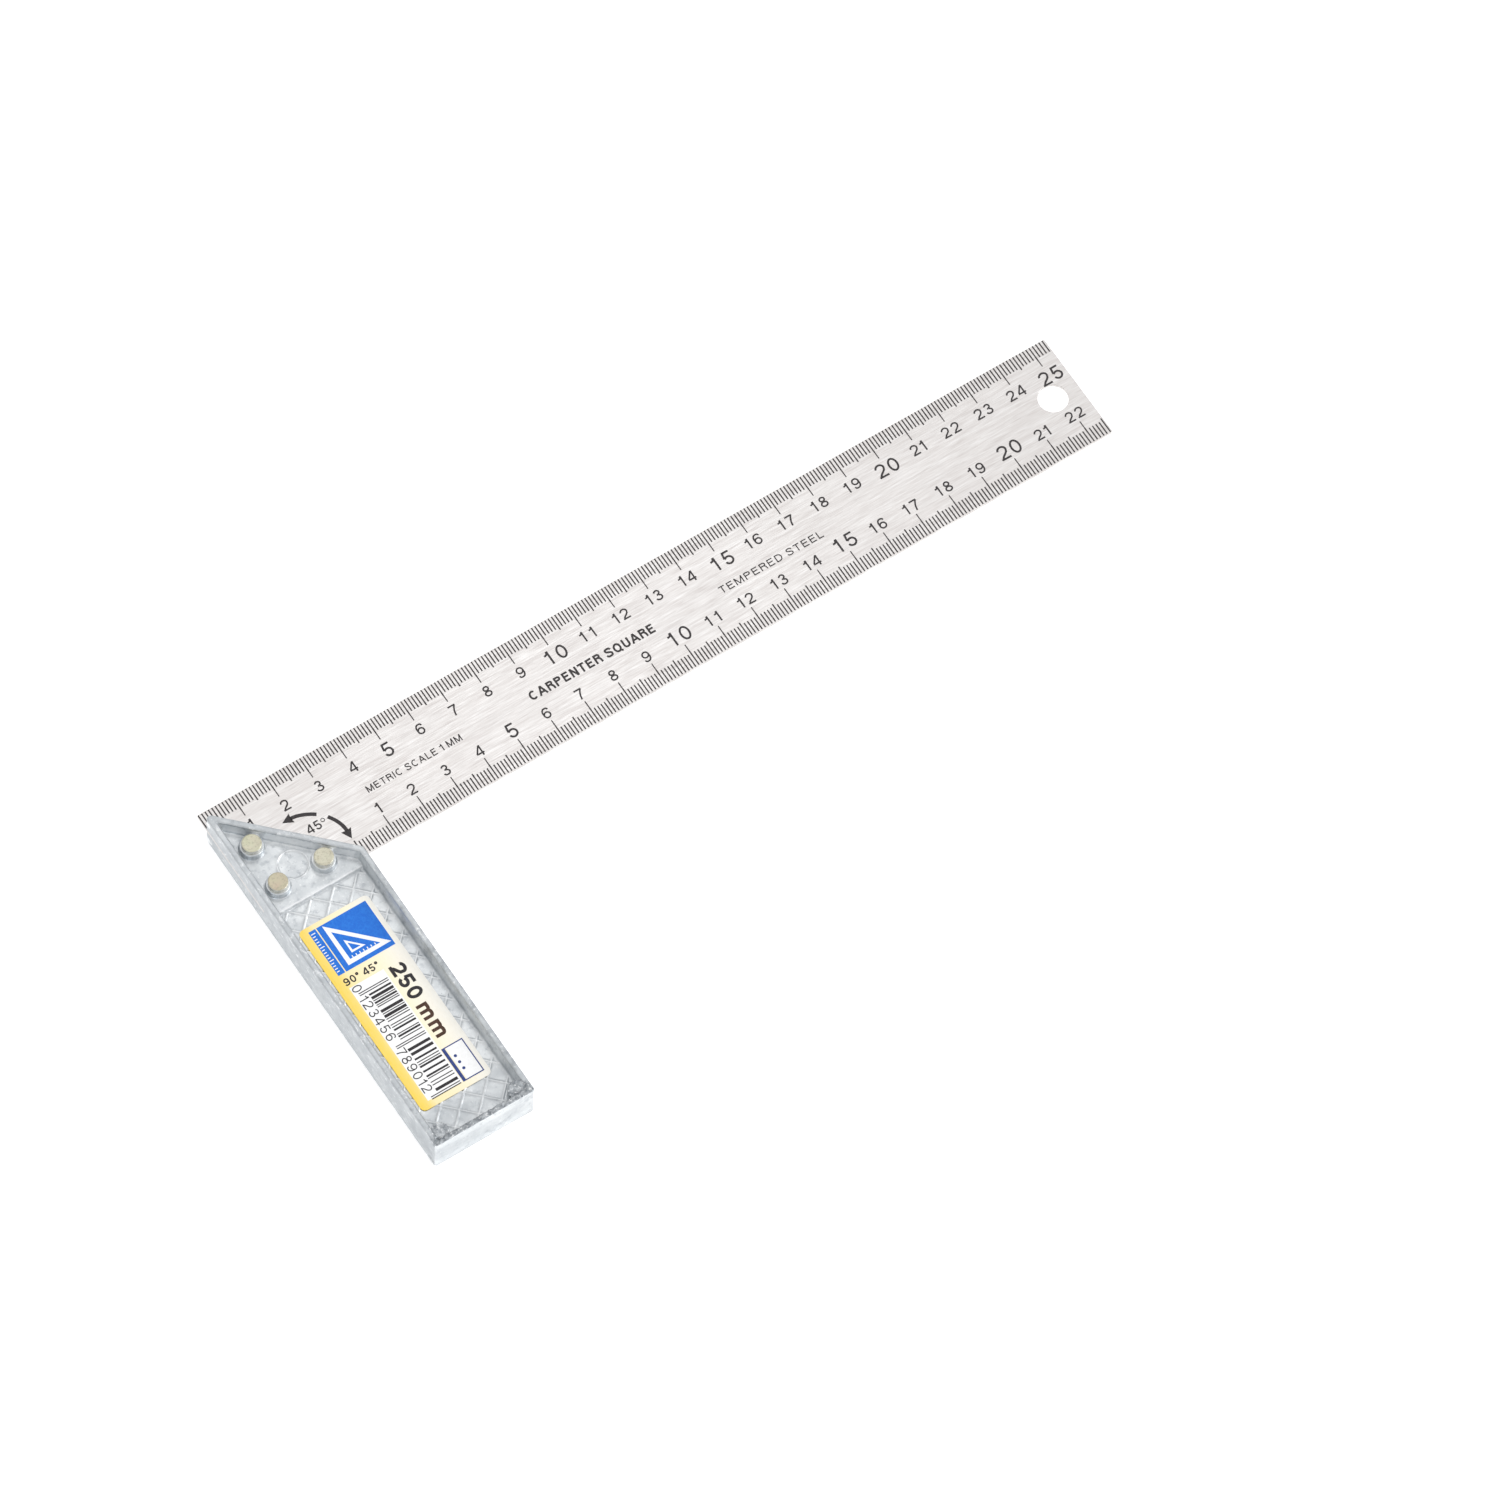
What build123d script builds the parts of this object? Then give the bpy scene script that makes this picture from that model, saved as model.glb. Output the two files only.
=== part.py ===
# Joiner's try square, 250 mm: a graduated steel blade riveted into the saw
# slot of a die-cast stock, with a 45 degree mitre shoulder beside the blade.
#
# Frame: +X runs along the blade from the stock towards the free end, +Y points
# from the stock's free end towards the blade's outer edge, +Z is the thickness.
# The origin is the middle of the square's bounding box, on the stock's underside.
# Dimensions are in millimetres.
from build123d import *
import os
from math import radians, sqrt, tan

os.makedirs("parts", exist_ok=True)

# ---- driving dimensions ----------------------------------------------------
blade_length = 255.0        # graduated 0 to 254 along the outer edge
blade_width = 31.5
blade_thickness = 1.0
hang_hole_r = 4.0           # hanging hole near the blade's free end
hang_hole_from_end = 7.6
hang_hole_v = 16.0          # above the blade's inner edge

stock_thickness = 12.0
stock_width = 29.2          # outer face to inner (working) face
stock_below = 79.3          # from the blade's inner edge to the stock's free end
tip_r = 1.1                 # rounding of the acute mitre tip
corner_r = 0.8              # vertical corners at the free end
rim_edge_r = 0.35           # broken outer edges of the rims

rim_left = 1.7              # rim widths at the top of the recess
rim_right = 1.5
rim_mitre = 1.6
rim_end = 1.5
draft_deg = 8.5             # draft of the recess walls
pad_depth = 3.7             # recess depth over the rivet pad
floor_depth = 4.6           # recess depth over the long floor
step_v = -3.0               # edge of the rivet pad, from the blade's inner edge
step_run = 0.6              # plan width of the sloped step
floor_fillet = 0.9          # hollow corner between the long floor and its walls

rib_w = 0.45                # diamond lattice on the long floor
rib_h = 0.15
rib_pitch = 6.87            # crossing to crossing along X
rib_u, rib_v = 11.6, -72.2

corner_bosses = ((3.7, -75.5, 2.3, 1.5), (25.6, -76.9, 2.6, 0.3))  # u, v, radius, depth of top
mark_u, mark_v, mark_r, mark_depth = 12.6, 6.5, 3.9, 0.2

rivet_uv = {"rivet_outer": (6.15, 15.6), "rivet_lower": (6.05, 3.1), "rivet_inner": (19.4, 2.9)}
rivet_head_r = 2.6
rivet_shank_r = 2.0
rivet_end_gap = 0.25        # rivet ends stop this far below the rims
rivet_edge_r = 0.35         # rounding of the rivet ends
post_base_r, post_top_r = 3.3, 3.05   # cast post under each rivet end
post_height = 2.0           # above the pad

label_w, label_h, label_t = 20.4, 58.2, 0.12
label_u, label_v = 3.55, -68.1   # lower left corner
label_r = 1.4

# ---- derived ---------------------------------------------------------------
x0 = -blade_length / 2                  # stock's outer face, blade's stock end
ye = (stock_below - blade_width) / 2    # blade's inner edge
zm = stock_thickness / 2
slot_lo, slot_hi = zm - blade_thickness / 2, zm + blade_thickness / 2
top = stock_thickness


def at(u, v):
    """Stock coordinates (from the outer face and the blade's inner edge) to the frame."""
    return (x0 + u, ye + v)


def recess_points(inset):
    """Corners of the recess, each wall moved inwards by inset."""
    left = rim_left + inset
    right = stock_width - rim_right - inset
    low = -stock_below + rim_end + inset
    diag = stock_width - (rim_mitre + inset) * sqrt(2)
    return [at(left, low), at(right, low), at(right, diag - right), at(left, diag - left)]


def floor_points(inset, step_inset):
    """Corners of the long floor below the rivet pad."""
    left = rim_left + inset
    right = stock_width - rim_right - inset
    low = -stock_below + rim_end + inset
    return [at(left, low), at(right, low), at(right, step_v - step_inset), at(left, step_v - step_inset)]


pad_inset = pad_depth * tan(radians(draft_deg))
floor_inset = floor_depth * tan(radians(draft_deg))

# ---- stock: one casting with two cheeks, rims, pad, lattice and bosses -----
with BuildPart() as stock:
    with BuildSketch(Plane.XY) as stock_outline:
        with BuildLine():
            Polyline(at(0, -stock_below), at(stock_width, -stock_below), at(stock_width, 0), at(0, stock_width), close=True)
        make_face()
        fillet(stock_outline.vertices().sort_by(Axis.Y)[-1], tip_r)
        fillet(stock_outline.vertices().group_by(Axis.Y)[0], corner_r)
    extrude(amount=stock_thickness)
    fillet(stock.faces().filter_by(Axis.Z).edges(), rim_edge_r)

    for z_face, way in ((top, -1), (0.0, 1)):
        # upper part of the recess, over pad and floor alike
        with BuildSketch(Plane.XY.offset(z_face)):
            Polygon(*recess_points(0), align=None)
        with BuildSketch(Plane.XY.offset(z_face + way * pad_depth)):
            Polygon(*recess_points(pad_inset), align=None)
        loft(mode=Mode.SUBTRACT, ruled=True)
        # deeper part over the long floor, with the sloped step to the pad
        with BuildSketch(Plane.XY.offset(z_face + way * pad_depth)):
            Polygon(*floor_points(pad_inset, 0), align=None)
        with BuildSketch(Plane.XY.offset(z_face + way * floor_depth)):
            Polygon(*floor_points(floor_inset, step_run), align=None)
        loft(mode=Mode.SUBTRACT, ruled=True)

    # inner edges of the rims, and the hollow corners at the recess walls
    rims = [e for e in stock.edges() if abs(e.center().Z - top) < 1e-4 or abs(e.center().Z) < 1e-4]
    inner = []
    for e in rims:
        c = e.center()
        u, v = c.X - x0, c.Y - ye
        if 1.0 < u < stock_width - 1.0 and v > -stock_below + 1.0 and u + v < stock_width - 1.8:
            inner.append(e)
    fillet(inner, 0.3)

    # hollow corners round the long floor and round the rivet pad
    for depth, radius in ((floor_depth, floor_fillet), (pad_depth, 0.4)):
        for z_floor in (top - depth, depth):
            edges = [
                e
                for e in stock.edges()
                if abs(e.bounding_box().min.Z - z_floor) < 1e-4
                and abs(e.bounding_box().max.Z - z_floor) < 1e-4
                and (e.center().Y - ye < step_v - 0.8 or depth == pad_depth)
                and abs(e.center().Y - ye - step_v) > 0.05
            ]
            fillet(edges, radius)

    for z_face, way in ((top, -1), (0.0, 1)):
        # diamond lattice of thin ribs on the long floor
        z_floor = z_face + way * floor_depth
        with BuildSketch(Plane.XY.offset(z_floor - way * rib_h)):
            crossings = [at(rib_u + i * rib_pitch, rib_v + 5 * rib_pitch) for i in range(-8, 9)]
            with Locations(*crossings):
                Rectangle(rib_w, 130, rotation=45)
                Rectangle(rib_w, 130, rotation=-45)
            Polygon(*floor_points(floor_inset + 0.3, step_run), align=None, mode=Mode.INTERSECT)
        extrude(amount=way * (rib_h + 0.2))
        # corner bosses
        for u, v, r, depth in corner_bosses:
            with BuildSketch(Plane.XY.offset(z_face + way * depth)):
                with Locations(at(u, v)):
                    Circle(r)
                Polygon(at(0.8, -stock_below + 0.7), at(stock_width - 0.8, -stock_below + 0.7), at(stock_width - 0.8, -60), at(0.8, -60), align=None, mode=Mode.INTERSECT)
            extrude(amount=way * (floor_depth + 0.2 - depth))
        # flat disc left by an ejector pin on the pad
        with BuildSketch(Plane.XY.offset(z_face + way * pad_depth)):
            with Locations(at(mark_u, mark_v)):
                Circle(mark_r)
        extrude(amount=way * mark_depth, mode=Mode.SUBTRACT)
        # tapered post under each rivet end
        for u, v in rivet_uv.values():
            with BuildSketch(Plane.XY.offset(z_face + way * (pad_depth + 0.2))):
                with Locations(at(u, v)):
                    Circle(post_base_r)
            with BuildSketch(Plane.XY.offset(z_face + way * (pad_depth - post_height))):
                with Locations(at(u, v)):
                    Circle(post_top_r)
            loft()

    # saw slot for the blade, open at the outer face, the mitre and the inner face
    with BuildSketch(Plane.XY.offset(slot_lo)):
        Polygon(at(-1, 0), at(stock_width + 1, 0), at(stock_width + 1, stock_width + 2), at(-1, stock_width + 2), align=None)
    extrude(amount=blade_thickness, mode=Mode.SUBTRACT)
    # small rebate under the blade where the slot meets the outer face
    with BuildSketch(Plane.XY.offset(slot_lo)):
        Polygon(at(-1, 0), at(0.2, 0), at(0.2, stock_width + 2), at(-1, stock_width + 2), align=None)
    extrude(amount=-0.3, mode=Mode.SUBTRACT)
    # rivet holes through both cheeks
    with BuildSketch(Plane.XY):
        with Locations(*[at(*p) for p in rivet_uv.values()]):
            Circle(rivet_shank_r)
    extrude(amount=stock_thickness, mode=Mode.SUBTRACT)
stock.part.label = "stock"
export_step(stock.part, "parts/stock.step")

# ---- blade -------------------------------------------------------------------
with BuildPart() as blade:
    with BuildSketch(Plane.XY.offset(slot_lo)) as blade_outline:
        with BuildLine():
            Polyline(at(0, 0), at(blade_length, 0), at(blade_length, blade_width), at(0, blade_width), close=True)
        make_face()
        fillet(blade_outline.vertices().group_by(Axis.X)[-1], 0.3)
        with Locations(at(blade_length - hang_hole_from_end, hang_hole_v)):
            Circle(hang_hole_r, mode=Mode.SUBTRACT)
        with Locations(*[at(*p) for p in rivet_uv.values()]):
            Circle(rivet_shank_r, mode=Mode.SUBTRACT)
    extrude(amount=blade_thickness)
blade.part.label = "blade"
export_step(blade.part, "parts/blade.step")

# ---- rivets: a shank through both cheeks and the blade, with a flat head each end
post_z = top - pad_depth + post_height
head_top = top - rivet_end_gap
for rivet_name, (u, v) in rivet_uv.items():
    cx, cy = at(u, v)
    with BuildPart() as rivet:
        with BuildSketch(Plane.XZ.offset(-cy)) as half:
            with BuildLine():
                Polyline(
                    (cx, top - head_top),
                    (cx + rivet_head_r, top - head_top),
                    (cx + rivet_head_r, top - post_z),
                    (cx + rivet_shank_r, top - post_z),
                    (cx + rivet_shank_r, post_z),
                    (cx + rivet_head_r, post_z),
                    (cx + rivet_head_r, head_top),
                    (cx, head_top),
                    close=True,
                )
            make_face()
            ends = [p for p in half.vertices() if p.Y > head_top - 0.01 or p.Y < top - head_top + 0.01]
            fillet([p for p in ends if p.X > cx + 1], rivet_edge_r)
        revolve(axis=Axis((cx, cy, 0), (0, 0, 1)))
    rivet.part.label = rivet_name
    export_step(rivet.part, "parts/" + rivet_name + ".step")

# ---- paper label, stuck on the lattice ribs of the long floor ---------------
with BuildPart() as label:
    with BuildSketch(Plane.XY.offset(top - floor_depth + rib_h)) as label_outline:
        with Locations(at(label_u, label_v)):
            Rectangle(label_w, label_h, align=(Align.MIN, Align.MIN))
        fillet(label_outline.vertices(), label_r)
    extrude(amount=label_t)
label.part.label = "label"
export_step(label.part, "parts/label.step")
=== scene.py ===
import bpy
import bmesh
import math
import random
from mathutils import Matrix, Vector, noise


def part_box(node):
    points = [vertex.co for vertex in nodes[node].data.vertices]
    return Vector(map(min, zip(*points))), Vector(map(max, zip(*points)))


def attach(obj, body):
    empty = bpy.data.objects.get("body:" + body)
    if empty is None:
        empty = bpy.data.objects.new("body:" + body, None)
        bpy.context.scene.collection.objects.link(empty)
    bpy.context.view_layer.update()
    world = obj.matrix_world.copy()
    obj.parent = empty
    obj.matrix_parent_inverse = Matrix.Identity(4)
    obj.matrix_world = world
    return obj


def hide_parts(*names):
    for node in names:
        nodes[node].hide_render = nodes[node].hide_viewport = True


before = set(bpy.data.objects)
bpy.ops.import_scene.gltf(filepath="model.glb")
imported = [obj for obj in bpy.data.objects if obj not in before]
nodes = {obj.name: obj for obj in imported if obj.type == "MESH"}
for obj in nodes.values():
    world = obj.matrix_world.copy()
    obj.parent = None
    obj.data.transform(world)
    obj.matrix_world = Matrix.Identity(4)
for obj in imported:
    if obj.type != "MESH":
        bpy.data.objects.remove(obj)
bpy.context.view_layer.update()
random.seed(250)

MM = 0.001
# the stock's outer face and the blade's inner edge, in mm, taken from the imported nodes
X0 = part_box("blade")[0].x / MM
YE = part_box("blade")[0].y / MM
Z_BLADE_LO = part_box("blade")[0].z / MM
Z_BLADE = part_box("blade")[1].z / MM
Z_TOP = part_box("stock")[1].z / MM
BLADE_L = (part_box("blade")[1].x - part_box("blade")[0].x) / MM
BLADE_W = (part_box("blade")[1].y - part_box("blade")[0].y) / MM
STOCK_W = (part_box("stock")[1].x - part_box("stock")[0].x) / MM
STOCK_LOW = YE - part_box("stock")[0].y / MM
Z_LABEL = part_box("label")[1].z / MM


def at(u, v, z):
    """Stock coordinates in mm (from the outer face and the blade's inner edge) to the row frame in metres."""
    return Vector(((X0 + u) * MM, (YE + v) * MM, z * MM))


def new_object(name, bm, smooth=False):
    mesh = bpy.data.meshes.new(name)
    bm.normal_update()
    bm.to_mesh(mesh)
    bm.free()
    if smooth:
        mesh.polygons.foreach_set("use_smooth", [True] * len(mesh.polygons))
    ob = bpy.data.objects.new(name, mesh)
    bpy.context.scene.collection.objects.link(ob)
    return ob


# ---------------------------------------------------------------- materials


class Mat:
    def __init__(self, name):
        self.mat = bpy.data.materials.new(name)
        self.mat.use_nodes = True
        self.nodes = self.mat.node_tree.nodes
        self.links = self.mat.node_tree.links
        self.bsdf = self.nodes["Principled BSDF"]
        self.coord = self.nodes.new("ShaderNodeTexCoord").outputs["Object"]

    def set(self, **kw):
        for k, v in kw.items():
            self.bsdf.inputs[k.replace("_", " ")].default_value = v
        return self

    def link(self, a, b):
        self.links.new(a, b)

    def noise(self, scale, detail=3.0, rough=0.55, distort=0.0, seed=0.0):
        m = self.nodes.new("ShaderNodeMapping")
        m.inputs["Scale"].default_value = scale if hasattr(scale, "__len__") else (scale,) * 3
        m.inputs["Location"].default_value = (seed, seed * 0.7, seed * 1.3)
        self.link(self.coord, m.inputs["Vector"])
        n = self.nodes.new("ShaderNodeTexNoise")
        n.inputs["Scale"].default_value = 1.0
        n.inputs["Detail"].default_value = detail
        n.inputs["Roughness"].default_value = rough
        n.inputs["Distortion"].default_value = distort
        self.link(m.outputs[0], n.inputs["Vector"])
        return n.outputs["Fac"]

    def voronoi(self, scale, feature="F1", seed=0.0):
        m = self.nodes.new("ShaderNodeMapping")
        m.inputs["Scale"].default_value = scale if hasattr(scale, "__len__") else (scale,) * 3
        m.inputs["Location"].default_value = (seed, seed * 0.7, seed * 1.3)
        self.link(self.coord, m.inputs["Vector"])
        n = self.nodes.new("ShaderNodeTexVoronoi")
        n.feature = feature
        n.inputs["Scale"].default_value = 1.0
        self.link(m.outputs[0], n.inputs["Vector"])
        return n.outputs["Distance"]

    def ramp(self, fac, stops, interp="LINEAR"):
        r = self.nodes.new("ShaderNodeValToRGB")
        r.color_ramp.interpolation = interp
        e = r.color_ramp.elements
        while len(e) < len(stops):
            e.new(0.5)
        for i, (p, c) in enumerate(stops):
            e[i].position = p
            e[i].color = tuple(c) + (1.0,) if hasattr(c, "__len__") else (c, c, c, 1.0)
        self.link(fac, r.inputs["Fac"])
        return r.outputs["Color"]

    def mix(self, fac, a, b, mode="MIX"):
        n = self.nodes.new("ShaderNodeMix")
        n.data_type = "RGBA"
        n.blend_type = mode
        for sock, v in ((n.inputs[0], fac), (n.inputs[6], a), (n.inputs[7], b)):
            if hasattr(v, "is_linked"):
                self.link(v, sock)
            else:
                sock.default_value = tuple(v) + (1.0,) if hasattr(v, "__len__") else v
        return n.outputs[2]

    def math(self, op, a, b=0.0, c=0.0, clamp=False):
        n = self.nodes.new("ShaderNodeMath")
        n.operation = op
        n.use_clamp = clamp
        for sock, v in zip(n.inputs, (a, b, c)):
            if hasattr(v, "is_linked"):
                self.link(v, sock)
            else:
                sock.default_value = v
        return n.outputs[0]

    def attr(self, name):
        n = self.nodes.new("ShaderNodeAttribute")
        n.attribute_name = name
        return n.outputs["Fac"]

    def axis(self, i):
        n = self.nodes.new("ShaderNodeSeparateXYZ")
        self.link(self.coord, n.inputs[0])
        return n.outputs[i]

    def normal_z(self):
        g = self.nodes.new("ShaderNodeNewGeometry")
        n = self.nodes.new("ShaderNodeSeparateXYZ")
        self.link(g.outputs["Normal"], n.inputs[0])
        return n.outputs[2]

    def color(self, socket):
        self.link(socket, self.bsdf.inputs["Base Color"])

    def rough(self, socket, lo, hi):
        m = self.nodes.new("ShaderNodeMapRange")
        m.inputs["To Min"].default_value = lo
        m.inputs["To Max"].default_value = hi
        self.link(socket, m.inputs["Value"])
        self.link(m.outputs[0], self.bsdf.inputs["Roughness"])

    def bump(self, layers):
        """layers: (height socket, strength, distance in metres), chained."""
        last = None
        for h, s, d in layers:
            b = self.nodes.new("ShaderNodeBump")
            b.inputs["Strength"].default_value = s
            b.inputs["Distance"].default_value = d
            self.link(h, b.inputs["Height"])
            if last is not None:
                self.link(last, b.inputs["Normal"])
            last = b.outputs[0]
        self.link(last, self.bsdf.inputs["Normal"])


def blade_material():
    m = Mat("brushed_blade_steel").set(Metallic=1.0, Anisotropic=0.45, Anisotropic_Rotation=0.25)
    t = m.nodes.new("ShaderNodeTangent")
    t.direction_type = "RADIAL"
    t.axis = "Y"
    m.link(t.outputs[0], m.bsdf.inputs["Tangent"])
    fine = m.noise((190, 5200, 300), 2.0, 0.6)
    mid = m.noise((75, 1500, 200), 3.0, 0.6, seed=3.1)
    long = m.noise((22, 620, 90), 2.0, 0.5, seed=7.7)
    blot = m.noise((38, 60, 38), 3.0, 0.55, seed=1.3)
    streak = m.math("ADD", m.math("MULTIPLY", fine, 0.60), m.math("MULTIPLY", mid, 0.40))
    base = m.ramp(streak, [(0.36, (0.570, 0.535, 0.523)), (0.50, (0.672, 0.650, 0.638)), (0.63, (0.765, 0.752, 0.746))])
    base = m.mix(m.ramp(long, [(0.40, 0.0), (0.62, 0.30)]), base, (0.65, 0.62, 0.605))
    base = m.mix(m.ramp(blot, [(0.42, 0.0), (0.72, 0.25)]), base, (0.61, 0.59, 0.58))
    m.color(base)
    m.rough(streak, 0.44, 0.28)
    m.bump([(mid, 0.12, 0.00002), (fine, 0.24, 0.00001)])
    return m.mat


def cast_material():
    m = Mat("cast_stock_metal").set(Metallic=1.0)
    blot = m.noise(150, 4.0, 0.6, 0.4)
    broad = m.noise(34, 3.0, 0.5, 0.6, seed=2.7)
    grit = m.noise(1500, 3.0, 0.7, seed=5.2)
    grain = m.noise(520, 3.0, 0.6, seed=9.1)
    base = m.ramp(blot, [(0.30, (0.575, 0.603, 0.623)), (0.50, (0.665, 0.689, 0.705)), (0.72, (0.785, 0.807, 0.813))])
    base = m.mix(m.ramp(broad, [(0.38, 0.0), (0.70, 0.35)]), base, (0.63, 0.665, 0.70))
    base = m.mix(m.ramp(grain, [(0.30, 0.65), (0.46, 0.0)]), base, (0.40, 0.43, 0.46))
    base = m.mix(m.ramp(grit, [(0.58, 0.0), (0.72, 0.60)]), base, (0.93, 0.94, 0.95))
    pits = m.voronoi(900, seed=3.3)
    base = m.mix(m.math("MULTIPLY", m.ramp(pits, [(0.08, 1.0), (0.20, 0.0)]), m.ramp(m.noise(240, 3.0, 0.6, seed=6.1), [(0.54, 0.0), (0.66, 0.7)])), base, (0.28, 0.30, 0.325))
    base = m.mix(m.math("MULTIPLY", m.attr("worn"), m.ramp(m.noise(260, 3.0, 0.6, seed=12.0), [(0.35, 0.95), (0.65, 0.50)])), base, (0.47, 0.497, 0.52))
    scuff = m.noise((700, 420, 700), 4.0, 0.7, 0.5, seed=14.2)
    base = m.mix(m.math("MULTIPLY", m.attr("worn"), m.ramp(scuff, [(0.57, 0.0), (0.66, 0.75)])), base, (0.90, 0.915, 0.925))
    base = m.mix(m.math("MULTIPLY", m.attr("worn"), m.ramp(scuff, [(0.32, 0.6), (0.40, 0.0)])), base, (0.33, 0.355, 0.385))
    # painted highlight: lightens the lattice ribs, the burr round the ejector disc, the step's lip, the mitre wall and
    # the end face towards near-white
    base = m.mix(m.math("MULTIPLY", m.attr("painted_highlight"), 0.8), base, (0.96, 0.97, 0.98))
    # rough, darker free end; painted shade in the recess corners follows below
    end = m.math("MULTIPLY", m.attr("end_rough"), m.ramp(m.noise(620, 4.0, 0.7, seed=4.4), [(0.34, 1.0), (0.62, 0.15)]))
    base = m.mix(m.math("MULTIPLY", end, 0.96), base, (0.13, 0.145, 0.165))
    glitter = m.noise(1250, 3.0, 0.7, 0.3, seed=21.0)
    base = m.mix(m.math("MULTIPLY", m.attr("end_rough"), m.ramp(glitter, [(0.57, 0.0), (0.66, 0.8)])), base, (0.92, 0.93, 0.94))
    # painted shade: darkens the recess corners, the foot of the step, lines along the left rim's edges and round the
    # rivet posts, and darkens the floor towards the far end
    painted_shade_mask = m.math("MULTIPLY", m.attr("painted_shade"), m.ramp(m.noise(300, 3.0, 0.6, seed=8.3), [(0.30, 1.0), (0.75, 0.35)]))
    base = m.mix(m.math("MULTIPLY", painted_shade_mask, 0.55), base, (0.30, 0.325, 0.35))
    m.color(base)
    m.rough(blot, 0.52, 0.32)
    m.bump([(blot, 0.30, 0.0003), (grain, 0.40, 0.00012), (grit, 0.30, 0.00004)])
    return m.mat


def rivet_material(name, warm, seed):
    m = Mat(name).set(Metallic=1.0)
    hue = m.noise(330, 3.0, 0.6, 0.8, seed=seed)
    grit = m.noise(2200, 2.0, 0.6, seed=seed + 1)
    ring = m.noise((900, 900, 2600), 2.0, 0.5, seed=seed + 2)
    top = m.ramp(hue, [(0.32, warm[0]), (0.50, warm[1]), (0.70, warm[2])])
    # the head's side is coloured paler and brighter than its plated top by the face's slope: a painted highlight on the
    # side, with turned rings in it
    side_painted_sheen = m.ramp(ring, [(0.35, (0.60, 0.58, 0.50)), (0.65, (0.82, 0.81, 0.76))])
    flat = m.ramp(m.normal_z(), [(0.55, 0.0), (0.93, 1.0)])
    base = m.mix(flat, side_painted_sheen, top)
    base = m.mix(m.ramp(grit, [(0.34, 0.5), (0.46, 0.0)]), base, (0.36, 0.34, 0.26))
    m.color(base)
    m.rough(grit, 0.50, 0.32)
    m.bump([(grit, 0.30, 0.00003), (hue, 0.20, 0.00006)])
    return m.mat


def ink_material(name, dark, light, rough=(0.42, 0.62)):
    m = Mat(name)
    wear = m.noise((2600, 2600, 2600), 3.0, 0.65)
    m.color(m.ramp(wear, [(0.35, dark), (0.75, light)]))
    m.rough(wear, *rough)
    m.bump([(wear, 0.15, 0.00001)])
    return m.mat


def paper_material():
    m = Mat("coated_label_paper").set(Coat_Weight=0.25, Coat_Roughness=0.22)
    # yellow down the outer edge, fading to cream across the label and towards its ends
    x = m.axis(0)
    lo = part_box("label")[0]
    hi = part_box("label")[1]
    s = m.math("DIVIDE", m.math("SUBTRACT", x, lo.x), hi.x - lo.x, clamp=True)
    wob = m.math("MULTIPLY", m.math("SUBTRACT", m.noise(45, 2.0), 0.5), 0.10)
    s = m.math("ADD", s, wob, clamp=True)
    base = m.ramp(s, [(0.0, (0.97, 0.68, 0.07)), (0.09, (0.97, 0.71, 0.13)), (0.20, (0.98, 0.83, 0.44)),
                      (0.62, (0.99, 0.89, 0.64)), (0.86, (0.98, 0.94, 0.83)), (1.0, (0.98, 0.96, 0.90))])
    fibre = m.noise((2400, 700, 900), 4.0, 0.6, seed=2.0)
    base = m.mix(m.ramp(fibre, [(0.35, 0.12), (0.6, 0.0)]), base, (0.78, 0.70, 0.52))
    m.color(base)
    m.rough(fibre, 0.36, 0.52)
    m.bump([(fibre, 0.18, 0.00002)])
    return m.mat


def print_material(name, rgb, dark):
    m = Mat(name).set(Coat_Weight=0.06, Coat_Roughness=0.25, Specular_IOR_Level=0.32)
    dots = m.noise((1800, 1500, 1500), 3.0, 0.6)
    m.color(m.ramp(dots, [(0.36, dark), (0.58, rgb)]))
    m.rough(dots, 0.36, 0.50)
    m.bump([(dots, 0.10, 0.00001)])
    return m.mat


def floor_material():
    m = Mat("pale_floor")
    soft = m.noise(3.0, 2.0)
    m.color(m.ramp(soft, [(0.3, (0.90, 0.90, 0.90)), (0.7, (0.915, 0.915, 0.915))]))
    m.rough(soft, 0.85, 0.95)
    m.set(Specular_IOR_Level=0.1, Emission_Color=(1.0, 1.0, 1.0, 1.0), Emission_Strength=0.42)
    return m.mat


# ---------------------------------------------------------------- flat strokes and glyphs


def arc(cx, cy, rx, ry, a0, a1, n=20):
    return [
        (cx + rx * math.cos(math.radians(a0 + (a1 - a0) * i / n)), cy + ry * math.sin(math.radians(a0 + (a1 - a0) * i / n)))
        for i in range(n + 1)
    ]


def smooth(pts, n=6):
    """Catmull-Rom curve through the points."""
    p = [pts[0]] + list(pts) + [pts[-1]]
    out = []
    for i in range(1, len(p) - 2):
        for k in range(n):
            t = k / n
            out.append(
                tuple(
                    0.5 * (2 * p[i][j] + (p[i + 1][j] - p[i - 1][j]) * t
                           + (2 * p[i - 1][j] - 5 * p[i][j] + 4 * p[i + 1][j] - p[i + 2][j]) * t * t
                           + (3 * p[i][j] - p[i - 1][j] - 3 * p[i + 1][j] + p[i + 2][j]) * t ** 3)
                    for j in (0, 1)
                )
            )
    out.append(tuple(pts[-1]))
    return out


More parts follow.
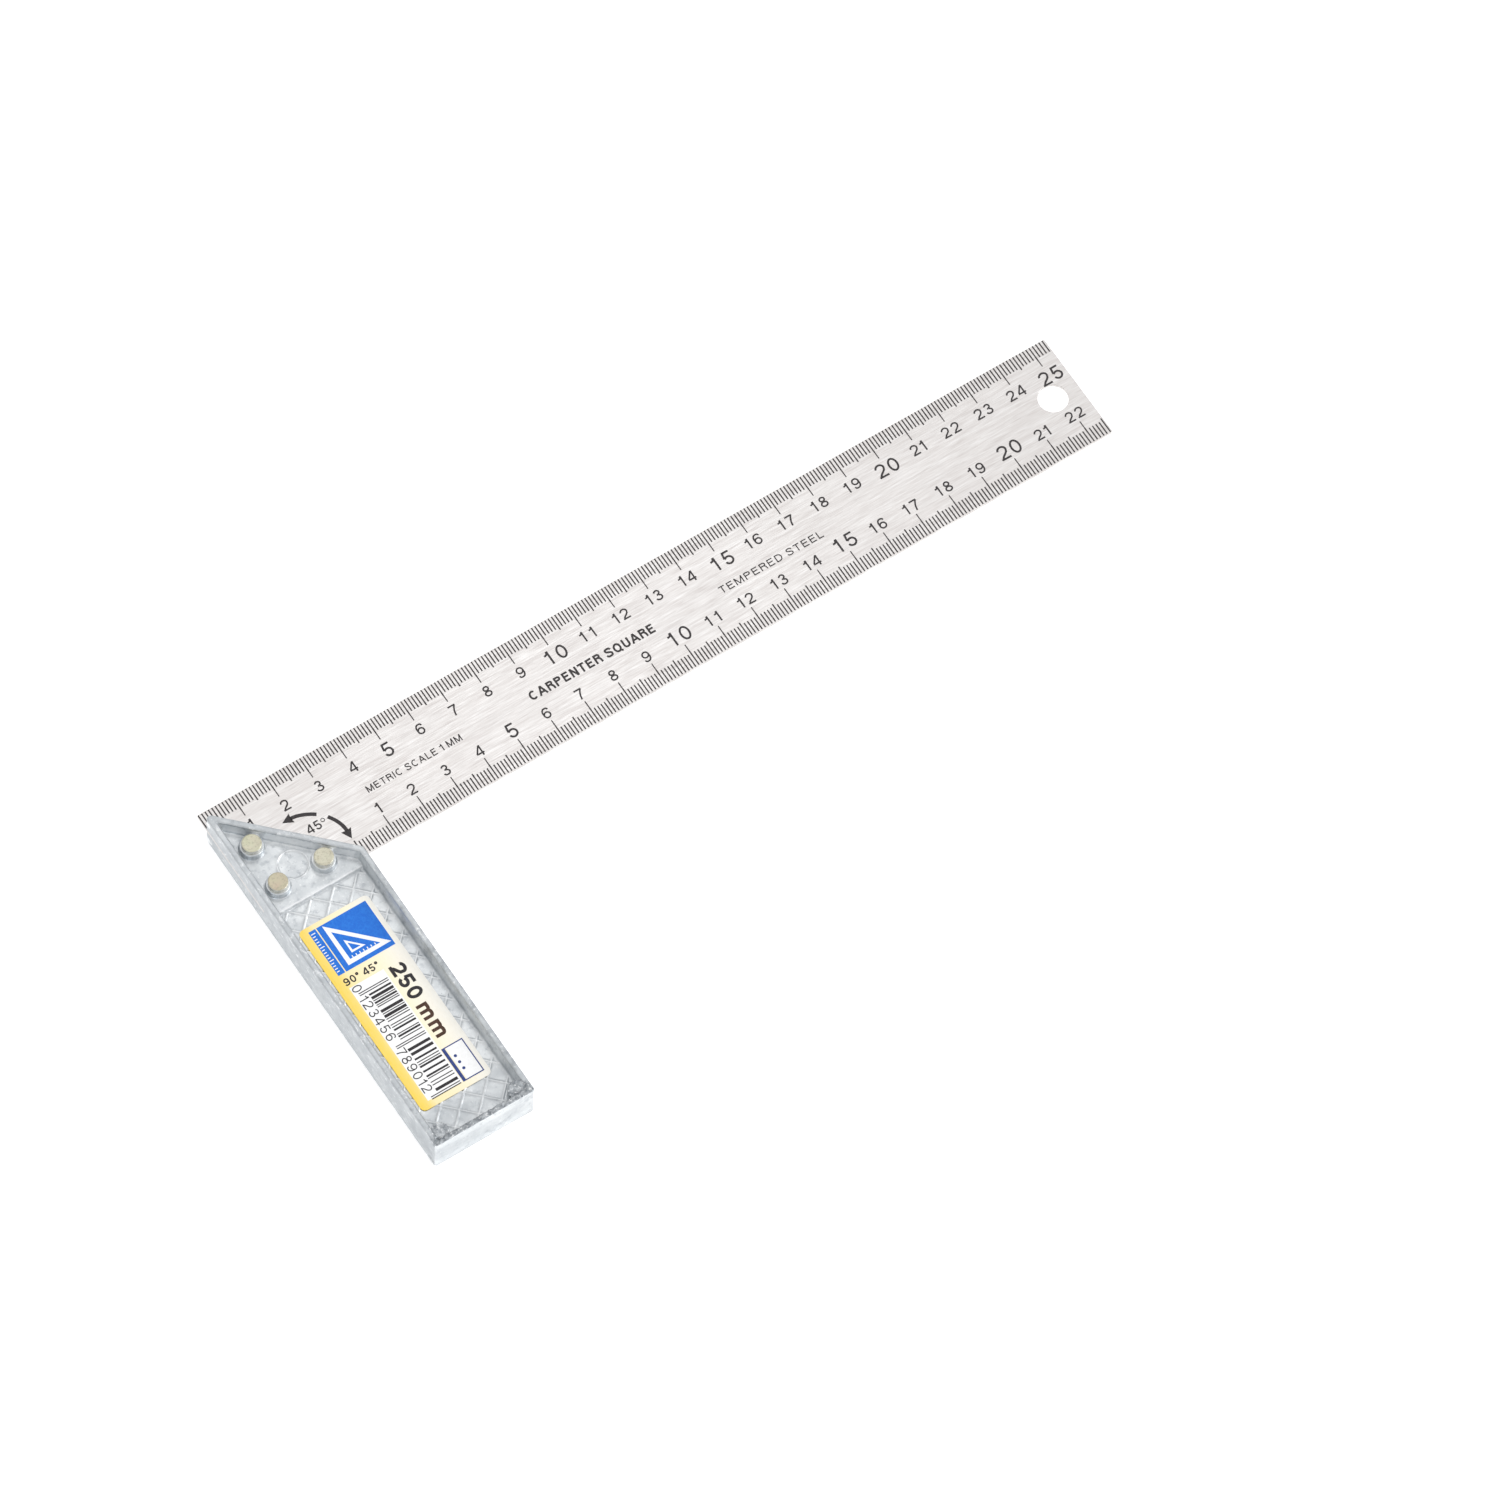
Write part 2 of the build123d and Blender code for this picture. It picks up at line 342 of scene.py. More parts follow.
def glyph(ch, s):
    """Centre lines of a plain sans-serif glyph of height 1 with stroke width s: (strokes, width). A stroke is (points, closed)."""
    h = s / 2
    L, R, B, T = h, 0.68 - h, h, 1 - h
    if ch == "0":
        return [(arc(0.34, 0.5, 0.34 - h, 0.5 - h, 0, 360, 32)[:-1], True)], 0.68
    if ch == "1":
        x = 0.36 - h
        return [([(x, 0), (x, 1)], False), (smooth([(0.0, 0.755), (0.12, 0.768), (0.21, 0.82), (x - h * 0.4, 0.985)]), False)], 0.36
    if ch == "2":
        c = arc(0.34, 0.70, 0.34 - h, 0.30 - h, 176, -22, 16) + smooth([(0.545, 0.50), (0.40, 0.375), (0.22, 0.25), (h + 0.02, B)])[0:]
        return [(c, False), ([(0.0, B), (0.67, B)], False)], 0.68
    if ch == "3":
        return [
            (arc(0.325, 0.745, 0.285 - h, 0.255 - h, 165, -78, 14), False),
            ([(0.24, 0.525), (0.37, 0.525)], False),
            (arc(0.335, 0.285, 0.335 - h, 0.285 - h, 78, -170, 18), False),
        ], 0.67
    if ch == "4":
        x = 0.53
        return [([(x, 0), (x, 1)], False), ([(x - h * 0.3, 0.97), (0.04, 0.30)], False), ([(0.0, 0.265), (0.70, 0.265)], False)], 0.70
    if ch == "5":
        c = [(0.60, T), (0.16, T), (0.095, 0.50)]
        return [(c, False), (arc(0.335, 0.325, 0.335 - h, 0.325 - h, 146, -165, 20), False)], 0.67
    if ch in "69":
        a = arc(0.345, 0.325, 0.335 - h, 0.325 - h, 0, 360, 28)[:-1]
        b = smooth([(0.62, 0.765), (0.54, 0.90), (0.38, T), (0.20, 0.885), (0.085, 0.69), (L + 0.005, 0.46), (L + 0.008, 0.33)])
        if ch == "9":
            a = [(0.68 - x, 1 - y) for x, y in a]
            b = [(0.68 - x, 1 - y) for x, y in b]
        return [(a, True), (b, False)], 0.68
    if ch == "7":
        return [([(0.0, T), (0.66, T)], False), (smooth([(0.63, T), (0.47, 0.70), (0.33, 0.38), (0.255, 0.0)]), False)], 0.66
    if ch == "8":
        return [(arc(0.34, 0.745, 0.285 - h, 0.255 - h, 0, 360, 26)[:-1], True), (arc(0.34, 0.275, 0.335 - h, 0.275 - h, 0, 360, 28)[:-1], True)], 0.68
    if ch == "o":  # degree ring
        return [(arc(0.2, 0.8, 0.2 - h, 0.2 - h, 0, 360, 20)[:-1], True)], 0.40
    if ch == "A":
        return [([(0.03, 0), (0.345, 1.0)], False), ([(0.345, 1.0), (0.66, 0)], False), ([(0.13, 0.33), (0.56, 0.33)], False)], 0.69
    if ch == "C":
        return [(arc(0.37, 0.5, 0.37 - h, 0.5 - h, 48, 312, 24), False)], 0.72
    if ch == "D":
        c = [(h, T), (0.28, T)] + arc(0.30, 0.5, 0.37 - h, 0.5 - h, 88, -88, 16) + [(0.28, B), (h, B)]
        return [(c, True)], 0.68
    if ch == "E":
        return [([(h, 0), (h, 1)], False), ([(h, T), (0.56, T)], False), ([(h, 0.53), (0.52, 0.53)], False), ([(h, B), (0.58, B)], False)], 0.60
    if ch == "I":
        return [([(h, 0), (h, 1)], False)], s
    if ch == "L":
        return [([(h, 1), (h, B), (0.52, B)], False)], 0.53
    if ch == "M":
        return [([(h, 0), (h, 1)], False), ([(h, 0.98), (0.40, 0.04)], False), ([(0.40, 0.04), (0.80 - h, 0.98)], False), ([(0.80 - h, 1), (0.80 - h, 0)], False)], 0.80
    if ch == "N":
        return [([(h, 0), (h, 1)], False), ([(h, 0.98), (0.66 - h, 0.02)], False), ([(0.66 - h, 0), (0.66 - h, 1)], False)], 0.66
    if ch in "PR":
        c = [(h, T), (0.36, T)] + arc(0.37, 0.735, 0.25 - h, 0.265 - h, 88, -88, 12) + [(0.36, 0.47 + h), (h, 0.47 + h)]
        st = [([(h, 0), (h, 1)], False), (c, False)]
        if ch == "R":
            st.append((smooth([(0.40, 0.50), (0.50, 0.43), (0.54, 0.30), (0.58, 0.0)]), False))
        return st, 0.62
    if ch == "Q":
        return [(arc(0.37, 0.5, 0.37 - h, 0.5 - h, 0, 360, 30)[:-1], True), ([(0.44, 0.22), (0.72, -0.02)], False)], 0.75
    if ch == "S":
        return [(smooth([(0.57, 0.73), (0.49, 0.88), (0.31, T), (0.13, 0.87), (0.10, 0.70), (0.22, 0.57), (0.42, 0.48), (0.55, 0.33), (0.50, 0.14), (0.31, B), (0.12, 0.12), (0.045, 0.29)], 5), False)], 0.62
    if ch == "T":
        return [([(0.0, T), (0.60, T)], False), ([(0.30, 0), (0.30, 1)], False)], 0.60
    if ch == "U":
        return [([(h, 1), (h, 0.34)] + arc(0.33, 0.33, 0.33 - h, 0.33 - h, 180, 360, 14) + [(0.66 - h, 0.34), (0.66 - h, 1)], False)], 0.66
    if ch == "m":
        x1, x2, x3 = h, 0.45, 0.90 - h
        a1 = arc((x1 + x2) / 2, 0.50, (x2 - x1) / 2, 0.24 - h, 180, 0, 10)
        a2 = arc((x2 + x3) / 2, 0.50, (x3 - x2) / 2, 0.24 - h, 180, 0, 10)
        return [([(x1, 0), (x1, 0.73)], False), (a1 + [(x2, 0)], False), (a2 + [(x3, 0)], False)], 0.90
    return [], 0.34


def ribbon(pts, w, closed):
    """Left and right borders of a stroke of width w, mitred at the corners."""
    n = len(pts)
    left, right = [], []
    for i in range(n):
        p = Vector(pts[i])
        a = Vector(pts[(i - 1) % n]) if (closed or i) else None
        b = Vector(pts[(i + 1) % n]) if (closed or i < n - 1) else None
        d1 = (p - a).normalized() if a is not None else None
        d2 = (b - p).normalized() if b is not None else None
        d1 = d1 if d1 is not None else d2
        d2 = d2 if d2 is not None else d1
        n1, n2 = Vector((-d1.y, d1.x)), Vector((-d2.y, d2.x))
        m = n1 + n2
        m = m.normalized() if m.length > 1e-6 else n1
        k = min(1.0 / max(m.dot(n1), 0.35), 2.2)
        left.append(p + m * (w / 2 * k))
        right.append(p - m * (w / 2 * k))
    return left, right


class Flat:
    """Thin closed printed or etched shapes lying on a surface of height z(u, v), in mm."""

    def __init__(self, z, thick=0.03, sink=0.012, height=None):
        self.bm = bmesh.new()
        self.z, self.thick, self.sink = z, thick, sink
        self.height = height or (lambda u, v: 0.0)

    def _solid(self, top, faces, rings):
        h = self.height
        up = [self.bm.verts.new(at(u, v, self.z + self.thick + h(u, v))) for u, v in top]
        dn = [self.bm.verts.new(at(u, v, self.z - self.sink + h(u, v))) for u, v in top]
        for f in faces:
            self.bm.faces.new([up[i] for i in f])
            self.bm.faces.new([dn[i] for i in reversed(f)])
        for ring in rings:
            for a, b in zip(ring, ring[1:] + ring[:1]):
                self.bm.faces.new([up[b], up[a], dn[a], dn[b]])

    def poly(self, pts):
        area = sum(a[0] * b[1] - b[0] * a[1] for a, b in zip(pts, pts[1:] + pts[:1]))
        if area < 0:
            pts = pts[::-1]
        idx = list(range(len(pts)))
        self._solid(pts, [idx], [idx])

    def rect(self, u0, v0, u1, v1, step=None):
        if step is None:
            self.poly([(u0, v0), (u1, v0), (u1, v1), (u0, v1)])
            return
        nu, nv = max(1, round(abs(u1 - u0) / step)), max(1, round(abs(v1 - v0) / step))
        pts = [(u0 + (u1 - u0) * i / nu, v0 + (v1 - v0) * j / nv) for j in range(nv + 1) for i in range(nu + 1)]
        k = lambda i, j: j * (nu + 1) + i
        faces = [[k(i, j), k(i + 1, j), k(i + 1, j + 1), k(i, j + 1)] for j in range(nv) for i in range(nu)]
        ring = [k(i, 0) for i in range(nu)] + [k(nu, j) for j in range(nv)] + [k(i, nv) for i in range(nu, 0, -1)] + [k(0, j) for j in range(nv, 0, -1)]
        self._solid(pts, faces, [ring])

    def stroke(self, pts, w, closed=False):
        left, right = ribbon(pts, w, closed)
        n = len(pts)
        top = [tuple(p) for p in right] + [tuple(p) for p in left]
        last = n if closed else n - 1
        faces = [[i, (i + 1) % n, n + (i + 1) % n, n + i] for i in range(last)]
        if closed:
            ccw = sum(a.x * b.y - b.x * a.y for a, b in zip(right, right[1:] + right[:1])) > 0
            rings = [list(range(n)), [n + i for i in range(n)][::-1]]
            self._solid(top, faces, rings)
        else:
            self._solid(top, faces, [list(range(n)) + [n + i for i in range(n)][::-1]])

    def text(self, words, u, v, height, stroke, gap, centre=True, fit=None, angle=0.0, wide=1.0):
        """Writes words with their baseline from (u, v). angle turns the baseline, in degrees."""
        s = stroke / height
        items, x = [], 0.0
        for ch in words:
            if ch == " ":
                x += 0.30 * height
                continue
            strokes, w = glyph(ch, s)
            items.append((x, strokes))
            x += w * height * wide + gap
            if centre and len(items) == 1 and words[0] == "1" and len(words) == 2:
                x += 0.85 if height > 3.4 else (0.9 if words[1] == "1" else 0.4)
        width = x - gap
        if fit:
            k = (fit - width) / max(1, len(words) - 1)
            items, x = [], 0.0
            for ch in words:
                if ch == " ":
                    x += 0.30 * height + k
                    continue
                strokes, w = glyph(ch, s)
                items.append((x, strokes))
                x += w * height * wide + gap + k
            width = x - gap - k
        off = -width / 2 if centre else 0.0
        ca, sa = math.cos(math.radians(angle)), math.sin(math.radians(angle))
        base = self.thick
        for x, strokes in items:
            for i, (pts, closed) in enumerate(strokes):
                self.thick = base + 0.002 * i
                q = []
                for px, py in pts:
                    a, b = off + x + px * height * wide, py * height
                    q.append((u + a * ca - b * sa, v + a * sa + b * ca))
                self.stroke(q, stroke, closed)
            self.thick = base
        return width

    def done(self, name, mat, slot):
        bmesh.ops.recalc_face_normals(self.bm, faces=self.bm.faces)
        ob = new_object(name, self.bm)
        ob.data.materials.append(mat)
        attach(ob, "root")
        return ob


# ---------------------------------------------------------------- the blade


def rounded_outline(u0, v0, u1, v1, r, n=6):
    pts = []
    for cx, cy, a in ((u1 - r, v0 + r, -90), (u1 - r, v1 - r, 0), (u0 + r, v1 - r, 90), (u0 + r, v0 + r, 180)):
        pts += arc(cx, cy, r, r, a, a + 90, n)
    return pts


HOLE_U, HOLE_V, HOLE_R = BLADE_L - 7.6, 16.0, 4.0
RIVETS = {n: ((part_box(n)[0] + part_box(n)[1]) / 2) for n in ("rivet_outer", "rivet_lower", "rivet_inner")}


def build_blade():
    bm = bmesh.new()
    b = 0.07

    def loops(inset, z):
        out = [rounded_outline(inset, inset, BLADE_L - inset, BLADE_W - inset, 0.35 - inset * 0.5)]
        out.append(arc(HOLE_U, HOLE_V, HOLE_R + inset, HOLE_R + inset, 360, 0, 96)[:-1])
        return [[bm.verts.new(at(u, v, z)) for u, v in loop] for loop in out]

    levels = [loops(b, Z_BLADE_LO), loops(b * 0.29, Z_BLADE_LO + b * 0.29), loops(0, Z_BLADE_LO + b),
              loops(0, Z_BLADE - b), loops(b * 0.29, Z_BLADE - b * 0.29), loops(b, Z_BLADE)]
    for lo, hi in zip(levels, levels[1:]):
        for a, c in zip(lo, hi):
            for i in range(len(a)):
                j = (i + 1) % len(a)
                bm.faces.new([a[i], a[j], c[j], c[i]])
    for level, nz in ((levels[0], -1), (levels[-1], 1)):
        edges = []
        for loop in level:
            for i in range(len(loop)):
                e = bm.edges.get((loop[i], loop[(i + 1) % len(loop)]))
                edges.append(e)
        bmesh.ops.triangle_fill(bm, use_beauty=True, use_dissolve=False, edges=edges, normal=(0, 0, nz))
    bmesh.ops.recalc_face_normals(bm, faces=bm.faces)
    ob = new_object("blade_brushed", bm)
    ob.data.materials.append(blade_material())
    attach(ob, "root")
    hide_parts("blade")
    return ob


def build_scales(ink):
    ticks = Flat(Z_BLADE, 0.03, 0.02)
    u0 = 0.25
    w = 0.36
    for k in range(0, 255):
        u = u0 + k
        low = 27.7
        if k % 10 == 0:
            low = 27.1
            ticks.rect(u - 0.14, 25.1, u + 0.14, 27.12)
        elif k % 5 == 0:
            low = 27.1
        ticks.rect(u - w / 2, low, u + w / 2, BLADE_W - 0.12)
    ticks.done("outer_graduations", ink, "blade_steel")
    ticks = Flat(Z_BLADE, 0.03, 0.02)
    u0 = STOCK_W + 0.25
    for k in range(0, 226):
        u = u0 + k
        high = 4.0
        if k and k % 10 == 0:
            high = 4.7
            ticks.rect(u - 0.14, 4.68, u + 0.14, 6.8)
        elif k % 5 == 0:
            high = 4.7
        ticks.rect(u - w / 2, 0.14, u + w / 2, high)
    ticks.done("inner_graduations", ink, "blade_steel")

    figs = Flat(Z_BLADE, 0.03, 0.02)
    for n in range(1, 26):
        big = n % 5 == 0
        h = 4.0 if big else 3.1
        figs.text(str(n), 0.25 + 10 * n + (0.3 if big and n > 5 else 0.0), 23.8 - h, h, 0.54 if big else 0.43, 0.9 if big else 0.8)
    figs.done("outer_figures", ink, "blade_steel")
    figs = Flat(Z_BLADE, 0.03, 0.02)
    for n in range(1, 23):
        big = n % 5 == 0
        h = 4.1 if big else 3.1
        figs.text(str(n), STOCK_W + 0.25 + 10 * n + (0.3 if big and n > 5 else 0.0), 7.6, h, 0.54 if big else 0.43, 0.9 if big else 0.8)
    figs.done("inner_figures", ink, "blade_steel")

    words = Flat(Z_BLADE, 0.03, 0.02)
    words.text("METRIC SCALE 1 MM", 53.75, 14.0, 1.95, 0.29, 0.3, fit=28.0, wide=1.22)
    words.text("TEMPERED STEEL", 160.75, 13.85, 2.1, 0.30, 0.3, fit=31.0, wide=1.42)
    words.text("CARPENTER SQUARE", 106.9, 13.85, 2.65, 0.53, 0.3, fit=37.2, wide=1.16)
    words.done("blade_lettering", ink, "blade_steel")

    ang = Flat(Z_BLADE, 0.03, 0.02)
    ang.text("45", 23.0, 11.95, 2.6, 0.40, 0.42)
    ang.stroke(arc(25.95, 13.75, 0.48, 0.48, 0, 360, 20)[:-1], 0.2, True)
    # two curved arrows about the corner between stock and blade
    ang.stroke(smooth([(19.3, 18.38), (20.9, 18.15), (22.75, 17.5), (24.2, 16.75), (25.5, 15.9)], 5), 1.0)
    ang.poly([(16.9, 18.35), (19.7, 16.95), (19.45, 18.35), (19.7, 19.8)])
    ang.stroke(smooth([(27.5, 13.85), (28.4, 12.4), (29.05, 10.9), (29.4, 9.5), (29.5, 8.0)], 5), 1.0)
    ang.poly([(29.4, 5.5), (30.85, 8.3), (29.45, 8.05), (27.95, 8.3)])
    ang.done("angle_mark", ink, "blade_steel")


# ---------------------------------------------------------------- the cast stock


def rib_at(u, v):
    """Crest of the diamond lattice on the long floor, 0 to 1, broken up as a flash line is."""
    if not (-77.0 < v < -3.8 and 2.6 < u < STOCK_W - 2.4):
        return 0.0
    a = ((u - v - 49.45 + 3.435) % 6.87 - 3.435) * 0.7071
    b = ((u + v + 26.25 + 3.435) % 6.87 - 3.435) * 0.7071
    k = max(math.exp(-((a / 0.125) ** 2)), math.exp(-((b / 0.125) ** 2)))
    if k < 0.02:
        return 0.0
    return k * max(0.08, min(1.0, 0.58 + 1.0 * noise.noise(Vector((u * 0.6, v * 0.6, 2.0)))))


def ring_at(u, v):
    """Burr round the ejector disc on the pad, 0 to 1."""
    r = math.hypot(u - 12.6, v - 6.5)
    if r > 5.0:
        return 0.0
    t = math.atan2(v - 6.5, u - 12.6)
    return math.exp(-(((r - 3.98) / 0.16) ** 2)) * max(0.2, min(1.0, 0.62 + 0.9 * noise.noise(Vector((math.cos(t) * 3.1, math.sin(t) * 3.1, 0.5)))))


def build_stock():
    src = nodes["stock"].data
    bm = bmesh.new()
    bm.from_mesh(src)
    bmesh.ops.remove_doubles(bm, verts=bm.verts, dist=1e-6)
    for vert in bm.verts:
        vert.co *= 1000.0                       # the remesh works in mm
    ob = new_object("stock_casting", bm)
    m = ob.modifiers.new("remesh", "REMESH")
    m.mode = "VOXEL"
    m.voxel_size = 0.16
    dg = bpy.context.evaluated_depsgraph_get()
    mesh = bpy.data.meshes.new_from_object(ob.evaluated_get(dg))
    ob.modifiers.clear()
    ob.data = mesh
    mesh.transform(Matrix.Scale(MM, 4))

    count = len(mesh.vertices)
    cos, nos = [0.0] * (3 * count), [0.0] * (3 * count)
    mesh.vertices.foreach_get("co", cos)
    mesh.vertices.foreach_get("normal", nos)
    for k in range(count):
        p = Vector(cos[3 * k : 3 * k + 3])
        n = Vector(nos[3 * k : 3 * k + 3])
        u, v, z = p.x / MM - X0, p.y / MM - YE, p.z / MM
        q = Vector((u, v, z))
        inside = min(u, STOCK_W - u, v + STOCK_LOW, (STOCK_W - u - v) * 0.7071)
        outer = inside < 0.25
        floor = abs(n.z) > 0.7 and 3.0 < z < 9.0
        wavy = noise.noise(q * 0.28) * 0.5 + noise.noise(q * 0.75 + Vector((9, 2, 5))) * 0.5
        fine = noise.noise(q * 2.2 + Vector((3, 8, 1)))
        d = 0.0
        if outer and abs(n.z) < 0.5:
            d = 0.02 * wavy + 0.012 * fine      # ground working faces
        elif floor:
            d = 0.02 * wavy + 0.014 * fine
        elif inside > 0.9 and abs(n.z) < 0.75:
            d = 0.10 * wavy + 0.02 * fine       # recess walls, so the rims' inner edges wander
        else:
            d = 0.07 * wavy + 0.03 * fine
            dent = noise.noise(q * 1.1 + Vector((5, 5, 5)))
            if dent > 0.35:
                d -= 0.16 * (dent - 0.35)
        if floor:
            d += 0.08 * rib_at(u, v) + 0.20 * ring_at(u, v)
        end = max(0.0, min(1.0, (-STOCK_LOW + 3.2 - v) / 1.2)) if z > 8.5 or z < 3.5 else 0.0
        if end and not outer:
            pits = noise.noise(q * 1.3 + Vector((1, 7, 4))) + 0.6 * noise.noise(q * 3.1)
            d += end * (0.17 * (pits - 0.25) + 0.22 * min(0.0, noise.noise(q * 4.3 + Vector((2, 6, 6)))))
        if Z_BLADE_LO - 0.3 < z < Z_BLADE + 0.3 and v > -0.4 and not outer:
            d = 0.0                             # faces of the saw slot stay on the blade
        cos[3 * k : 3 * k + 3] = p + n * (d * MM)
    mesh.vertices.foreach_set("co", cos)
    mesh.update()
    faces = len(mesh.polygons) * 2
    if faces > 186000:
        dm = ob.modifiers.new("decimate", "DECIMATE")
        dm.ratio = 186000 / faces
        dg = bpy.context.evaluated_depsgraph_get()
        mesh = bpy.data.meshes.new_from_object(ob.evaluated_get(dg))
        ob.modifiers.clear()
        ob.data = mesh
    mesh.polygons.foreach_set("use_smooth", [True] * len(mesh.polygons))
    a_end = mesh.attributes.new("end_rough", "FLOAT", "POINT")
    a_painted_shade = mesh.attributes.new("painted_shade", "FLOAT", "POINT")
    a_glint = mesh.attributes.new("painted_highlight", "FLOAT", "POINT")
    a_rim = mesh.attributes.new("worn", "FLOAT", "POINT")
    ends, painted_shades, painted_highlights, worn = [], [], [], []
    for vert in mesh.vertices:
        u, v, z = vert.co.x / MM - X0, vert.co.y / MM - YE, vert.co.z / MM
        far = min(z, Z_TOP - z)
        face = v + STOCK_LOW < 0.4 and far > 0.25
        e = 0.0 if face else max(0.0, min(1.0, (-STOCK_LOW + 3.6 - v) / 1.6)) * max(0.0, min(1.0, 1.2 - far * 0.35))
        boss = math.hypot(u - 3.7, v + 75.5) < 2.8 or math.hypot(u - 25.6, v + 76.9) < 2.8
        # pitted stretches of the long wall beside the inner face
        if STOCK_W - u < 2.6 and 0.15 < STOCK_W - u and v < -6.0 and far < 4.2:
            e = max(e, max(0.0, min(0.45, 1.8 * noise.noise(Vector((u * 0.5, v * 0.22, 4.0))))))
        ends.append(max(e, 0.9 if boss and far < 3.2 and not face and 0.4 < u < STOCK_W - 0.4 else 0.0))
        deep = max(0.0, min(1.0, (far - 2.6) / 1.2))
        wall = min(u - 1.7, STOCK_W - 1.5 - u, v + STOCK_LOW - 1.5, (STOCK_W - u - v) * 0.7071 - 1.6)
        near = max(0.0, 1.0 - abs(wall - 0.75) / 0.75)
        post = min(abs(math.hypot(vert.co.x - c.x, vert.co.y - c.y) / MM - 3.35) for c in RIVETS.values())
        near = max(near, max(0.0, 1.0 - post / 0.35) * 0.8)
        mitre = abs((STOCK_W - u - v) * 0.7071 - 1.9) < 0.8 and v > 0
        # painted shade line along the foot of the step
        foot_shade_line = math.exp(-(((v + 3.7) / 0.22) ** 2)) if 3.9 < far < 5.5 and 2.2 < u < STOCK_W - 2.2 else 0.0
        # painted highlight line along the step's upper edge
        lip_highlight_line = math.exp(-(((v + 2.95) / 0.20) ** 2)) if 3.2 < far < 4.2 and 2.2 < u < STOCK_W - 2.2 else 0.0
        edge = 0.0
        if far < 0.6 and v < 24.0:
            broken = max(0.0, min(1.0, 0.45 + 1.1 * noise.noise(Vector((3.0, v * 0.25, 1.0)))))
            edge = broken * max(math.exp(-(((u - 0.42) / 0.14) ** 2)), 0.8 * math.exp(-(((u - 1.55) / 0.16) ** 2)))
        # painted shade: darkens the recess corners, the foot of the step, lines along the left rim's edges and round
        # the rivet posts, and darkens the floor towards the far end
        painted_shades.append(max(edge, deep * near * (0.15 if mitre else 1.0), 1.0 * foot_shade_line, 0.6 * deep * max(0.0, min(1.0, (-66.0 - v) / 3.0))))
        # painted highlight: light lines on the lattice ribs, the disc burr and the step's lip, a lighter mitre wall and
        # a slightly lighter end face
        if face:
            painted_highlights.append(0.10)
        elif 3.0 < far < 5.5:
            painted_highlights.append(max(rib_at(u, v), ring_at(u, v), 0.8 * lip_highlight_line))
        else:
            painted_highlights.append(0.9 if mitre and 0.6 < far < 3.6 else 0.0)
        worn.append(0.0 if face else (0.9 if far < 0.5 or u < 0.12 else (0.3 if STOCK_W - u < 0.12 or STOCK_W - u - v < 0.2 else 0.0)))
    a_end.data.foreach_set("value", ends)
    a_painted_shade.data.foreach_set("value", painted_shades)
    a_glint.data.foreach_set("value", painted_highlights)
    a_rim.data.foreach_set("value", worn)
    mesh.materials.clear()
    mesh.materials.append(cast_material())
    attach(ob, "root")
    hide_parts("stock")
    return ob


# ---------------------------------------------------------------- rivets


def build_rivet(name, mat, tilt):
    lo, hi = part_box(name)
    c = (lo + hi) / 2
    r = (hi.x - lo.x) / 2 / MM
    z0, z1 = lo.z / MM, hi.z / MM
    seat = 1.95
    half = [(0.0, 0.045), (0.9, 0.04), (1.7, 0.028), (2.05, 0.008), (2.2, 0.0), (r - 0.20, 0.012), (r - 0.09, 0.05),
            (r - 0.025, 0.13), (r, 0.25), (r - 0.01, 0.7), (r - 0.03, 1.2), (r - 0.02, 1.55), (r, seat), (2.0, seat)]
    prof = [(a, z1 - d) for a, d in half] + [(a, z0 + d) for a, d in half[::-1]]
    bm = bmesh.new()
    n = 72
    rings = []
    for a, z in prof:
        if a == 0.0:
            rings.append([bm.verts.new((c.x, c.y, z * MM))])
            continue
        ring = []
        for i in range(n):
            t = 2 * math.pi * i / n
            q = Vector((math.cos(t) * a, math.sin(t) * a, z + tilt * 7))
            rr = a * (1 + 0.006 * noise.noise(Vector((math.cos(t) * 1.3, math.sin(t) * 1.3, tilt * 9)))) - 0.012 * abs(noise.noise(q * 1.9))
            zz = z + (0.02 * noise.noise(q * 0.9) - 0.012) * (1 if z > 6 else -1)
            ring.append(bm.verts.new((c.x + math.cos(t) * rr * MM, c.y + math.sin(t) * rr * MM, zz * MM)))
        rings.append(ring)
    for a, b in zip(rings, rings[1:]):
        for i in range(n):
            j = (i + 1) % n
            if len(a) == 1:
                bm.faces.new([a[0], b[i], b[j]])
            elif len(b) == 1:
                bm.faces.new([a[j], a[i], b[0]])
            else:
                bm.faces.new([a[j], a[i], b[i], b[j]])
    bmesh.ops.recalc_face_normals(bm, faces=bm.faces)
    ob = new_object(name + "_finished", bm, smooth=True)
    ob.data.materials.append(mat)
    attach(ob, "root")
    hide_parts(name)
    return ob


# ---------------------------------------------------------------- label


def paper_height(u, v):
    """Slight unevenness of the paper over the lattice ribs, in mm."""
    q = Vector((u * 0.16, v * 0.16, 4.0))
    return 0.004 * noise.noise(q) - 0.02


